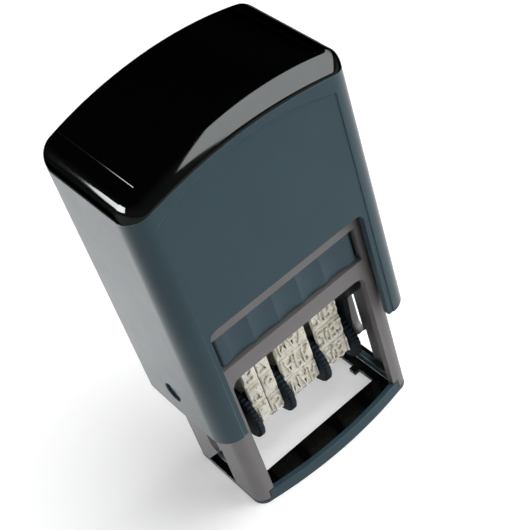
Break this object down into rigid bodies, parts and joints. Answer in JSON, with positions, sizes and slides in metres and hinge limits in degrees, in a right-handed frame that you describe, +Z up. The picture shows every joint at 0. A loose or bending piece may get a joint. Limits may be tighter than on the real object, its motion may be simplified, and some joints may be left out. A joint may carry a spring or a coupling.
{
  "type": "date stamp",
  "caption": "Hand-pressed self-inking date stamp: a housing slides down a frame on a spring and flips the date bands from the ink pad to the paper.",
  "frame": {"origin": "middle of the base's underside, on the surface it stands on", "axes": "+X to the right, +Y to the back, away from the pad's grip, +Z up"},
  "size_m": [0.0428, 0.0254, 0.084],
  "materials": {
    "housing_plastic": "fine moulded grain, satin",
    "cap_plastic": "polished",
    "frame_plastic": "fine moulded grain, satin",
    "base_plastic": "satin",
    "cartridge_plastic": "satin",
    "felt": "soaked with dark ink",
    "carrier_plastic": "satin",
    "pivot_steel": "dull",
    "wheel_plastic": "satin",
    "type_rubber": "matte with ink stains",
    "spring_steel": "drawn wire"
  },
  "bodies": {
    "frame": {"inner_frame": "frame_plastic", "base_frame": "base_plastic", "return_spring": "spring_steel"},
    "housing": {"outer_housing": "housing_plastic", "top_cap": "cap_plastic"},
    "cradle": {"left_cheek": "carrier_plastic", "right_cheek": "carrier_plastic", "left_pivot_pin": "pivot_steel", "right_pivot_pin": "pivot_steel", "print_bridge": "carrier_plastic", "wheel_axle": "pivot_steel", "tens_band": "type_rubber", "units_band": "type_rubber", "month_band": "type_rubber", "year_band": "type_rubber"},
    "tens_dial": {"tens_wheel": "wheel_plastic"},
    "units_dial": {"units_wheel": "wheel_plastic"},
    "month_dial": {"month_wheel": "wheel_plastic"},
    "year_dial": {"year_wheel": "wheel_plastic"},
    "ink_pad": {"pad_cartridge": "cartridge_plastic", "ink_felt": "felt"}
  },
  "joints": [
    {"name": "press", "type": "slide", "parent": "frame", "child": "housing", "axis": [0, 0, -1], "range_m": [0, 0.0193], "stiffness_N_per_m": 300, "springref_m": -0.012, "deforming": ["return_spring"]},
    {"name": "flip", "type": "hinge", "parent": "housing", "child": "cradle", "pos_m": [0, 0, 0.0293], "axis": [-1, 0, 0], "range_deg": [0, 180]},
    {"name": "tens_turn", "type": "hinge", "parent": "cradle", "child": "tens_dial", "pos_m": [0, 0, 0.0132], "axis": [1, 0, 0], "continuous": true},
    {"name": "units_turn", "type": "hinge", "parent": "cradle", "child": "units_dial", "pos_m": [0, 0, 0.0132], "axis": [1, 0, 0], "continuous": true},
    {"name": "month_turn", "type": "hinge", "parent": "cradle", "child": "month_dial", "pos_m": [0, 0, 0.0132], "axis": [1, 0, 0], "continuous": true},
    {"name": "year_turn", "type": "hinge", "parent": "cradle", "child": "year_dial", "pos_m": [0, 0, 0.0132], "axis": [1, 0, 0], "continuous": true},
    {"name": "pad_slide", "type": "slide", "parent": "frame", "child": "ink_pad", "axis": [0, 1, 0], "range_m": [-0.022, 0]}
  ],
  "couplings": [
    {"joint": "flip", "follows": "press", "rad_per_m": 162.77}
  ]
}
